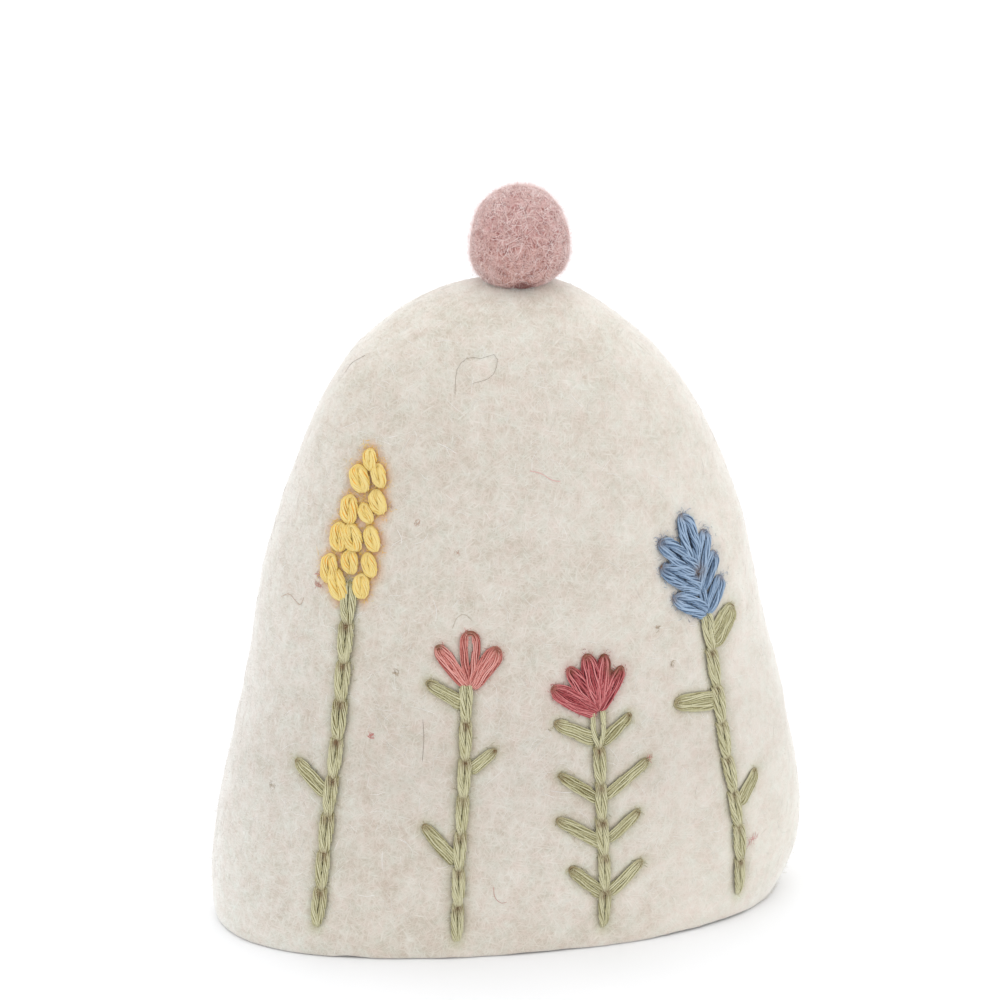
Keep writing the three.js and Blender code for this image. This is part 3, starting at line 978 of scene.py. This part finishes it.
fibres(
    "felt_fuzz", paths, np.broadcast_to(normal[:, None], paths.shape), draw.uniform(*FUZZ_GAUGE, count),
    np.clip(draw.normal(0.85, 0.15, count), 0, 1), down_finish, "felt",
)

# %% [markdown]
# The ball is wool felted round and round into a knob that is a little taller than wide, and it is pressed
# onto the crown, so its underside is flat and follows the bell. Blender's own sphere would be too even and
# would cut into the crown, so each point is worked out from its direction, with lumps, and stops where the
# bell begins. Pale curly strands lie over a deeper rose ground, because that net of light strands is what
# the eye sees.

# %% The ball's mesh
ball_low, ball_high = (np.array(corner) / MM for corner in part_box("felt_ball"))
BALL_MIDDLE = 99.5
BALL_DROP, BALL_FOOT, BALL_HEAD = 6.5, 2.15, 2.15
BALL_RADIUS = (ball_high[0] - ball_low[0]) / 2
BALL_RISE = ball_high[2] - BALL_MIDDLE
BALL_CENTRE = np.array(((ball_high[0] + ball_low[0]) / 2, 0, BALL_MIDDLE))
BALL_COLUMNS, BALL_ROWS = 150, 100
SEAT = 0.1
BALL_LEAN = 0.5
SEARCH_FROM, HALVINGS = 60.0, 24


def crown_height(points):
    """Height of the bell's wall straight under each point."""
    low, high = np.full(len(points), SEARCH_FROM), np.full(len(points), CROWN)
    for _ in range(HALVINGS):
        middle = (low + high) / 2
        inside = level(np.column_stack((points[:, :2], middle))) < 1
        low, high = np.where(inside, middle, low), np.where(inside, high, middle)
    return low


def on_ball(ways, over=0.0):
    """Points over the ball's face in the given directions."""
    below = ways[:, 2] < 0
    power = np.where(below, BALL_FOOT, BALL_HEAD)
    flat = np.linalg.norm(ways[:, :2], axis=1)
    reach = (flat ** power + np.abs(ways[:, 2]) ** power) ** (-1 / power)
    tall = np.where(below, BALL_DROP, BALL_RISE)
    shape = ways * np.column_stack((BALL_RADIUS * reach, BALL_RADIUS * reach, tall * reach))
    bumps = 0.2 * lumps(ways * 9 + 40, 6, 51) + 0.1 * lumps(ways * 9 + 40, 2, 52)
    points = BALL_CENTRE + shape + ways * (bumps - 0.2 + over)[:, None]
    points[:, 0] -= BALL_LEAN * np.clip(-ways[:, 2], 0, 1)
    points[:, 2] = np.maximum(points[:, 2], crown_height(points) + SEAT + over)
    return points


rise, turn = np.mgrid[1:BALL_ROWS, 0:BALL_COLUMNS]
rise, turn = rise.ravel() * np.pi / BALL_ROWS, turn.ravel() * 2 * np.pi / BALL_COLUMNS
ways = np.column_stack((np.sin(rise) * np.cos(turn), np.sin(rise) * np.sin(turn), -np.cos(rise)))
poles = on_ball(np.array(((0, 0, 1.0), (0, 0, -1.0))))
ball_points = np.concatenate((on_ball(ways), poles))
print("ball %.1f mm wide and %.1f mm over its middle" % (2 * BALL_RADIUS, BALL_RISE))

# %% The ball's faces and finish
def ball_faces():
    rows = BALL_ROWS - 1
    quads, rows_at, columns_at = grid_faces(rows, BALL_COLUMNS)
    spots = np.stack((columns_at / BALL_COLUMNS, (rows_at + 1) / BALL_ROWS), -1)
    ring = np.arange(BALL_COLUMNS)
    top = fan_faces(ring + (rows - 1) * BALL_COLUMNS, rows * BALL_COLUMNS)
    foot = fan_faces(ring, rows * BALL_COLUMNS + 1)[:, ::-1]
    across = (ring[:, None] + (0, 1, 0.5)) / BALL_COLUMNS
    near = 1 / BALL_ROWS
    top_spots = np.stack((across, np.broadcast_to((1 - near, 1 - near, 1.0), across.shape)), -1)
    foot_spots = np.stack((across, np.broadcast_to((near, near, 0.0), across.shape)), -1)[:, ::-1]
    return [quads, top, foot], [spots, top_spots, foot_spots]


def ball_finish():
    finish = Finish("rose wool felt", {
        "Roughness": 1.0, "Specular IOR Level": 0.0, "Sheen Weight": 1.0, "Sheen Roughness": 0.4,
    })
    patches = finish.noise(1.2, detail=4.0, rough=0.6)
    curls = finish.lines(0.9, 0.08, 2.0) + finish.lines(0.6, 0.08, 6.0)
    wool = finish.ramp(patches, [
        (0.35, paint(130, 64, 58)), (0.5, paint(177, 125, 118)), (0.65, paint(210, 168, 163)),
    ])
    wool = finish.blend((curls * 0.4).capped(), wool, paint(224, 194, 190))
    # Painted shade and painted warm light from the felt below: the ball is darker and warmer towards its
    # foot.
    height = finish.node("ShaderNodeSeparateXYZ", {}, {0: finish.place}, "Z")
    foot = finish.ramp(height * 80.0 - 7.4, [
        (0.0, paint(216, 188, 170)), (0.25, paint(243, 229, 216)), (0.9, paint(251, 251, 254)),
    ])
    return finish.close(finish.blend(1.0, wool, foot, "MULTIPLY"), patches + curls * 0.4, 0.6, 0.15)


faces, maps = ball_faces()
ball = piece("wool_ball", ball_points, faces, maps, ball_finish(), "ball_felt")
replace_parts(ball, "felt_ball")

# %% [markdown]
# A felted ball is wrapped in strands. The finish alone could draw them, but its rim would stay smooth, so
# they are the same needles as on the felt, curled over the ball's face and darker near its foot, which is
# painted shade. A tuft of the darkest ones shows where the ball is sewn on: dark wool, and painted shade
# where the ball meets the crown. A fuzz of fine pale ones leans off it all round.

# %% Strands round the ball
draw = np.random.default_rng(41)
BALL_STRANDS, BALL_DOWN = 6000, 11000
TUFT, TUFT_STRANDS = unit(np.array((-0.04, -0.68, -0.76))), 200
TUFT_SPREAD, TUFT_REACH, TUFT_DARK = 0.06, 0.16, 1.1
STRAND_LENGTH, STRAND_GAUGE = (1.6, 4.2), (0.045, 0.09)
DOWN_LENGTH, DOWN_GAUGE = (0.3, 1.2), (0.025, 0.035)
STRANDS_ABOVE, DOWN_ABOVE = -0.8, -0.6
BALL_SHADES = [
    (0.0, paint(120, 58, 48)), (0.3, paint(200, 153, 145)), (0.65, paint(225, 187, 180)),
    (1.0, paint(250, 238, 236)),
]
rose_finish = fibre_finish("loose rose wool", BALL_SHADES, 1.0)
middles = unit(draw.normal(size=(BALL_STRANDS, 3)))
middles = middles[middles[:, 2] > STRANDS_ABOVE]
middles = np.concatenate((middles, unit(TUFT + draw.normal(0, TUFT_SPREAD, (TUFT_STRANDS, 3)))))
count = len(middles)
# The tuft is dark wool and painted shade where the ball meets the crown.
dark_wool_and_shade = TUFT_DARK * np.exp(-((middles - TUFT) ** 2).sum(axis=1) / TUFT_REACH ** 2)
first = unit(np.cross(middles, draw.normal(size=middles.shape)))
second = np.cross(middles, first)
run = np.linspace(-0.5, 0.5, 5)
length = draw.uniform(*STRAND_LENGTH, count) / BALL_RADIUS
curl = draw.normal(0, 0.8, count)
sway = draw.normal(0, 0.15, count)
ahead = run * length[:, None]
aside = ((run ** 2 - 0.12) * curl[:, None] + np.sin(run * 6.3) * sway[:, None]) * length[:, None]
ways = unit(middles[:, None] + ahead[..., None] * first[:, None] + aside[..., None] * second[:, None])
over = np.array((-0.12, 0.02, 0.06, 0.02, -0.12)) + draw.uniform(-0.08, 0.06, (count, 1))
paths = on_ball(ways.reshape(-1, 3), over.ravel()).reshape(ways.shape)
# Painted shade: the strands are darker towards the ball's foot.
dark_wool_and_shade = dark_wool_and_shade + 0.18 * np.clip((100 - paths[:, 2, 2]) / 7, 0, 1)
fibres(
    "ball_strands", paths, ways, draw.uniform(*STRAND_GAUGE, count),
    np.clip(draw.normal(0.6, 0.22, count) - dark_wool_and_shade, 0, 1), rose_finish, "ball_felt", **LYING,
)
middles = unit(draw.normal(size=(BALL_DOWN, 3)))
middles = middles[middles[:, 2] > DOWN_ABOVE]
count = len(middles)
lean = unit(np.cross(middles, draw.normal(size=middles.shape)))
run = np.linspace(0, 1, 3)[:, None]
length = draw.uniform(*DOWN_LENGTH, count)[:, None, None]
rising = middles[:, None] * (run * 0.85 - 0.1) + lean[:, None] * run ** 1.5 * 0.55
paths = on_ball(middles)[:, None] + length * rising
fibres(
    "ball_down", paths, np.broadcast_to(middles[:, None], paths.shape), draw.uniform(*DOWN_GAUGE, count),
    np.clip(draw.normal(0.95, 0.1, count), 0, 1), rose_finish, "ball_felt",
)

# %% [markdown]
# Every thread becomes a bundle of fine round tubes. Curves with a bevel could make them, but thousands of
# curves are slow to make and carry no tone at their points, so the tubes come from arrays as well. The tone
# is painted shade and highlight: pale on the crest that faces out of the bundle, darker down its sides and
# darkest on the core, so the gaps between strands read as shaded gaps at any distance. A second number
# keeps one random shade for each strand.

# %% Tubes of thread
SIDES = 6
RING_STEP = 0.28
CORE_SHADE_TONE = 0.1


def tube(rows, wide, high, core):
    """Rings of points of one tube over the felt, and the painted shade tone at each point."""
    run = run_along(rows)
    even = np.linspace(0, run[-1], max(int(run[-1] / RING_STEP), 5))
    parts = np.column_stack((rows, wide, high, rows if core is None else core))
    parts = np.column_stack([np.interp(even, run, part) for part in parts.T])
    line, up = lay(parts[:, :3])
    # The tone is painted shade and highlight: the core is darkest, and a strand is lighter on the side of the
    # bundle that faces out of the felt and on its own upper side.
    rise = np.full(len(even), CORE_SHADE_TONE)
    if core is not None:
        axis, normal = lay(parts[:, 5:])
        rise = np.clip(0.55 + 0.5 * (unit(line - axis) * normal).sum(axis=1), 0.25, 1)
        up = unit(line - axis)
    ahead = unit(np.gradient(line, axis=0))
    side = unit(np.cross(up, ahead))
    up = np.cross(ahead, side)
    angle = np.arange(SIDES) * 2 * np.pi / SIDES + np.pi / 2
    closing = np.clip(0.4 + np.minimum(even, run[-1] - even) / parts[:, 4], 0, 1)[:, None]
    across = np.cos(angle) * parts[:, 3:4] * closing
    upward = np.sin(angle) * parts[:, 4:5] * closing
    ring = line[:, None] + side[:, None] * across[..., None] + up[:, None] * upward[..., None]
    painted_strand_light = 1 if core is None else 0.5 + 0.5 * np.sin(angle)
    return ring, rise[:, None] * painted_strand_light * np.ones(SIDES)


def tube_faces(rings, first):
    """Quads along a tube, and the triangles that close its ends."""
    ring = np.arange(SIDES)
    last = (rings - 1) * SIDES
    start, end = fan_faces(ring, rings * SIDES)[:, ::-1], fan_faces(ring + last, rings * SIDES + 1)
    return grid_faces(rings, SIDES, first)[0], first + np.concatenate((start, end))


def thread_finish(name, deep, middle, light):
    finish = Finish(name, {
        "Roughness": 0.7, "Specular IOR Level": 0.2, "Sheen Weight": 0.25, "Sheen Roughness": 0.4,
    })
    grain = finish.noise(0.35, detail=2.0)
    # The tone attribute is painted shade and highlight from the tubes; the shade attribute is one random tone
    # for each strand.
    tone = finish.attribute("tone") * 0.8 + finish.attribute("shade") * 0.6 + grain * 0.5 - 0.45
    cotton = finish.ramp(tone.capped(), [(0.0, deep), (0.4, middle), (0.85, light)])
    browned = (finish.attribute("tip") * (finish.noise(0.8, 5.0) * 2.0 - 0.1)).capped()
    return finish.close(finish.blend(browned * 0.9, cotton, TIP_BROWN), grain, 0.4, 0.05)


TIP_BROWN = paint(118, 88, 60)
# Each thread's ramp runs from deep to light by the tone: the deep colour is mostly painted shade between the
# strands and the light one painted highlight on their crests, with a random shade for each strand.
THREADS = {
    "stem": ("sage green cotton", paint(120, 110, 70), paint(179, 174, 135), paint(208, 204, 171)),
    "yellow": ("straw yellow cotton", paint(242, 174, 62), paint(228, 197, 104), paint(232, 211, 143)),
    "pink": ("rose pink cotton", paint(136, 60, 52), paint(195, 119, 110), paint(225, 166, 157)),
    "red": ("old red cotton", paint(90, 18, 24), paint(166, 73, 77), paint(210, 132, 132)),
    "blue": ("grey blue cotton", paint(54, 74, 100), paint(109, 133, 161), paint(159, 181, 205)),
}
thread_finishes = {key: thread_finish(*row) for key, row in THREADS.items()}
print("threads:", ", ".join(row[0] for row in THREADS.values()))

# %% [markdown]
# A flower is sewn with one thread, and so is a stem with its leaves, so each is one piece. Where a loop is
# caught down, its tip is made a little brown, and so is the spot where one link of a stem comes out of the
# last. Noise could scatter the brown, but then it would miss the tips, so it is kept as a number at each
# point. Short hairs stand off every thread, and others lie on the felt round it.

# %% The stitched pieces
TIP_REACH, JOINT_REACH = 1.1, 0.8


def near_tips(points, tips, reach):
    """1 at a loop's tip and 0 away from it."""
    near = np.zeros(len(points))
    for x, z in tips:
        spot = on_front(np.array([x]), np.array([z]))
        near = np.maximum(near, np.exp(-((points - spot) ** 2).sum(axis=1) / reach ** 2))
    return near


CONTRAST = {"stem": 0.7, "yellow": 0.5, "pink": 1, "red": 1, "blue": 1}


def stitched(name, plant, kind, key, draw):
    """The piece of one flower or one stem with its leaves, marked with painted shade tone, random shade and
    brown.
    """
    tubes = sewn[name]
    tips = [stitch[1] for stitch in (LEAVES if kind == "stem" else PETALS)[plant] if key != "yellow"]
    cells = int(np.ceil(np.sqrt(len(tubes))))
    points, painted_shade_tones, shades, quads, ends, spots = [], [], [], [], [], []
    count = 0
    for index, parts in enumerate(tubes):
        ring, tone = tube(*parts)
        faces = tube_faces(len(ring), count)
        points += [ring.reshape(-1, 3), ring[:1].mean(axis=1), ring[-1:].mean(axis=1)]
        painted_shade_tones += [tone.ravel(), tone[:1].mean(axis=1), tone[-1:].mean(axis=1)]
        shades.append(np.full(tone.size + 2, 0.5 + CONTRAST[key] * draw.uniform(-0.5, 0.5)))
        quads.append(faces[0])
        ends.append(faces[1])
        along = np.repeat(np.linspace(0.05, 0.95, len(ring)), SIDES)
        around = np.tile(0.5 + 0.45 * np.cos(np.arange(SIDES) * 2 * np.pi / SIDES), len(ring))
        spot = np.concatenate((np.column_stack((along, around)), ((0.02, 0.5), (0.98, 0.5))))
        spots.append((np.array((index % cells, index // cells)) + spot) / cells)
        count += tone.size + 2
    points, spots = np.concatenate(points), np.concatenate(spots)
    faces = [np.concatenate(quads), np.concatenate(ends)]
    maps = [spots[rows] for rows in faces]
    made = piece(name + "_thread", points, faces, maps, thread_finishes[key], key + "_thread")
    mark(made, "tone", np.concatenate(painted_shade_tones))
    mark(made, "shade", np.concatenate(shades))
    brown = near_tips(points, tips, TIP_REACH)
    if kind == "stem":
        brown = np.maximum(brown, near_tips(points, stem_joints(plant)[1:-1], JOINT_REACH))
    mark(made, "tip", brown)
    return made


print("the strands of a bundle differ by", CONTRAST)

# %% Hairs off the thread
FLUFF = {"stem": 5, "yellow": 6, "pink": 4, "red": 4, "blue": 5}
HALO = {"stem": (3, 0.35), "yellow": (14, 0.45), "pink": (2, 0.3), "red": (3, 0.3), "blue": (4, 0.5)}
FLUFF_LENGTH, FLUFF_GAUGE, FLUFF_TONE = (0.25, 0.8), (0.03, 0.06), 0.7
HALO_LENGTH, HALO_GAUGE, HALO_TONE = (0.4, 1.2), (0.04, 0.08), 0.35


def fluff(name, key, rows, sewn_length, draw):
    """Short hairs that stand off a thread; FLUFF is how many to a mm."""
    count = int(FLUFF[key] * sewn_length)
    starts, ups = lay(rows[draw.integers(0, len(rows), count)])
    way = unit(draw.normal(size=starts.shape) + ups * 0.4)
    bend = unit(draw.normal(size=starts.shape))
    length = draw.uniform(*FLUFF_LENGTH, count)[:, None, None]
    run = np.linspace(0, 1, 4)[:, None]
    paths = starts[:, None] + length * (way[:, None] * run + bend[:, None] * run ** 2 * 0.5)
    made = fibres(
        name + "_fluff", paths, np.broadcast_to(ups[:, None], paths.shape),
        draw.uniform(*FLUFF_GAUGE, count),
        draw.uniform(0, 1, count), thread_finishes[key], key + "_thread",
    )
    mark(made, "tone", np.full(len(made.data.vertices), FLUFF_TONE))


def halo(name, key, rows, sewn_length, draw):
    """Hairs that lie on the felt round a thread; HALO is how many to a mm, and how far they spread."""
    amount, spread = HALO[key]
    count = int(amount * sewn_length)
    x, z = rows[draw.integers(0, len(rows), count), :2].T + draw.normal(0, spread, (2, count))
    length, bend = draw.uniform(*HALO_LENGTH, count), draw.normal(0, 1, count)
    paths, ups = lying(on_front(x, z), length, bend, 4, draw)
    rise = pile(paths.reshape(-1, 3)).reshape(paths.shape[:2]) + (-0.04, 0.03, 0.03, -0.04)
    made = fibres(
        name + "_halo", paths + ups * rise[..., None], ups, draw.uniform(*HALO_GAUGE, count),
        draw.uniform(0, 1, count), thread_finishes[key], key + "_thread", **LYING,
    )
    mark(made, "tone", np.full(len(made.data.vertices), HALO_TONE))


for name, tubes in sewn.items():
    plant, kind = name.split("_")
    key = "stem" if kind == "stem" else plant
    draw = np.random.default_rng(len(tubes))
    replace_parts(stitched(name, plant, kind, key, draw), name)
    rows = np.concatenate([rows for rows, wide, high, core in tubes if core is not None])
    sewn_length = sum(run_along(line)[-1] for line, wide, high, core in tubes if core is None)
    fluff(name, key, rows, sewn_length, draw)
    halo(name, key, rows, sewn_length, draw)

# %% [markdown]
# Handmade felt picks up stray hairs and flecks of other wool. They could be strewn by chance, but here they
# are few and plain to see, so they are placed one by one. Each hair is a fine fibre laid over the felt
# through a few points of x and z, and each fleck is a small tangle of short fibres.

# %% Stray hairs and flecks
HAIR_STOPS = 18
HAIRS = [
    (0.2, 0.045, [
        (-11.1, 81.2), (-10.6, 84.4), (-9.9, 85.8), (-8.4, 86.7), (-7, 86.5), (-4.9, 87), (-4.5, 86.6),
        (-4.9, 85.2), (-6, 84), (-9.1, 83.2),
    ]),
    (0.2, 0.07, [(-24.6, 82.6), (-23.3, 84.3), (-21.7, 85.7)]),
    (0.15, 0.05, [(-17.5, 36.9), (-17.4, 33.7), (-17.7, 30.3)]),
    (0.4, 0.09, [(-35, 51.4), (-34, 52.4), (-33.3, 51.7), (-32.8, 51.4), (-32.3, 52.7)]),
    (0.9, 0.12, [(-1.5, 71.5), (0.2, 71), (1.8, 70), (3.1, 69.7)]),
    (0.6, 0.08, [(-7.7, 11.2), (-7.5, 9.5), (-6.6, 8.5), (-5.6, 8.6)]),
    (0.3, 0.06, [(-13.2, 49.7), (-12.4, 51.4), (-11.3, 51.8), (-10.2, 50.8)]),
]
FLECKS = [
    (-30.3, 56.1, 0.3, 9, 0.55), (-30.6, 54.8, 0.4, 14, 0.55), (-24.5, 34, 0.35, 12, 0.65),
    (-21.1, 43.4, 0.3, 6, 0.3), (-37.6, 24.8, 0.35, 6, 0.3), (16.9, 47.5, 0.4, 6, 0.3),
    (19.2, 42, 0.35, 6, 0.3), (32.3, 12.7, 0.8, 16, 0.85), (15.5, 28.5, 0.4, 10, 0.6),
    (-12, 60.6, 0.3, 5, 0.42), (-17.4, 64.7, 0.3, 5, 0.42), (-21.1, 66.5, 0.6, 8, 0.42),
]
FLECK_LENGTH, FLECK_GAUGE = (0.5, 1.6), (0.05, 0.09)
STRAY_SHADES = [
    (0.0, paint(132, 60, 52)), (0.15, paint(112, 96, 82)), (0.3, paint(180, 166, 142)),
    (0.45, paint(198, 164, 146)), (0.65, paint(192, 116, 112)), (1.0, paint(234, 196, 190)),
]
stray_finish = fibre_finish("stray wool", STRAY_SHADES)
hairs = np.stack([smooth_line(knots, HAIR_STOPS)[0] for shade, gauge, knots in HAIRS]).reshape(-1, 2)
wall = on_front(hairs[:, 0], hairs[:, 1])
ups = outward(wall)
height = np.tile(np.concatenate(((-0.06,), np.full(HAIR_STOPS - 2, 0.05), (-0.06,))), len(HAIRS))
paths = (wall + ups * (pile(wall) + height)[:, None]).reshape(-1, HAIR_STOPS, 3)
stray_hairs = fibres(
    "stray_hairs", paths, ups.reshape(paths.shape), np.array([gauge for shade, gauge, knots in HAIRS]),
    np.array([shade for shade, gauge, knots in HAIRS]), stray_finish, "felt", **LYING,
)
draw = np.random.default_rng(61)
x, z, spread, amount, shade = np.repeat(np.array(FLECKS), np.array(FLECKS)[:, 3].astype(int), axis=0).T
count = len(x)
starts = on_front(x + draw.normal(0, 0.5, count) * spread, z + draw.normal(0, 0.5, count) * spread)
paths, ups = lying(starts, draw.uniform(*FLECK_LENGTH, count), draw.normal(0, 1.2, count), 5, draw)
rise = pile(paths.reshape(-1, 3)).reshape(paths.shape[:2]) + np.array((-0.05, 0.03, 0.05, 0.03, -0.05))
flecks = fibres(
    "wool_flecks", paths + ups * rise[..., None], ups, draw.uniform(*FLECK_GAUGE, count),
    np.clip(shade + draw.normal(0, 0.04, count), 0, 1), stray_finish, "felt", **LYING,
)

# %% [markdown]
# The room is a plain white sweep. Lamps would throw harder shadows than the photograph has, so the light
# comes from the world itself: soft from all round, with a little less of it from the camera's side. The
# floor burns out to white a little way from the cosy, as in the photograph, and keeps a shadow near the
# hem.

# %% Floor and light
FLOOR_HALF = 4.0
FLOOR_GAP = 0.02
ROOM_LIGHT = 1.2
ROOM_SLOPE = (0.06, 0.22, 0.15)


def floor_finish():
    finish = Finish("pale floor", {"Roughness": 1.0, "Specular IOR Level": 0.0})
    pale = [(0.3, (0.9, 0.91, 0.93, 1)), (0.7, (0.92, 0.93, 0.95, 1))]
    return finish.close(finish.ramp(finish.noise(40), pale))


floor_mesh = bpy.data.meshes.new("floor")
far = FLOOR_HALF
floor_mesh.from_pydata([(-far, -far, 0), (far, -far, 0), (far, far, 0), (-far, far, 0)], [], [(0, 1, 2, 3)])
floor_mesh.materials.append(floor_finish())
floor = bpy.data.objects.new("floor", floor_mesh)
floor.location = (0, 0, -FLOOR_GAP * MM)
scene.collection.objects.link(floor)

world = bpy.data.worlds.new("soft room")
world.use_nodes = True
nodes, links = world.node_tree.nodes, world.node_tree.links
nodes["Background"].inputs["Strength"].default_value = ROOM_LIGHT
direction = nodes.new("ShaderNodeTexCoord")
slant = nodes.new("ShaderNodeVectorMath")
slant.operation = "DOT_PRODUCT"
slant.inputs[1].default_value = ROOM_SLOPE
sides = nodes.new("ShaderNodeMath")
sides.inputs[1].default_value = 1.0
links.new(direction.outputs["Generated"], slant.inputs[0])
links.new(slant.outputs["Value"], sides.inputs[0])
links.new(sides.outputs[0], nodes["Background"].inputs["Color"])
scene.world = world
scene.view_settings.view_transform = "Standard"
print("floor and light are set")

# %% [markdown]
# Last come the sizes of the bell as a sheet of felt. It was felted in the round, so no flat blank could be
# measured. A ring round the bell and the height of its wall are worked out instead, and so are the steps
# across and up the bell's own face.

# %% Sizes of the felt
GIRTH_HEIGHT = 20.0
ring = bell(np.full(COLUMNS + 1, GIRTH_HEIGHT), np.append(even_turns(COLUMNS), 2 * np.pi))
wall_height = run_along(bell(np.linspace(0, CROWN, 400), np.full(400, -np.pi / 2)))[-1] * MM
grid = outer.reshape(WALL_ROWS, COLUMNS, 3)
over = np.roll(grid, -1, axis=1)[:-1] - grid[:-1]
up = grid[1:] - grid[:-1]
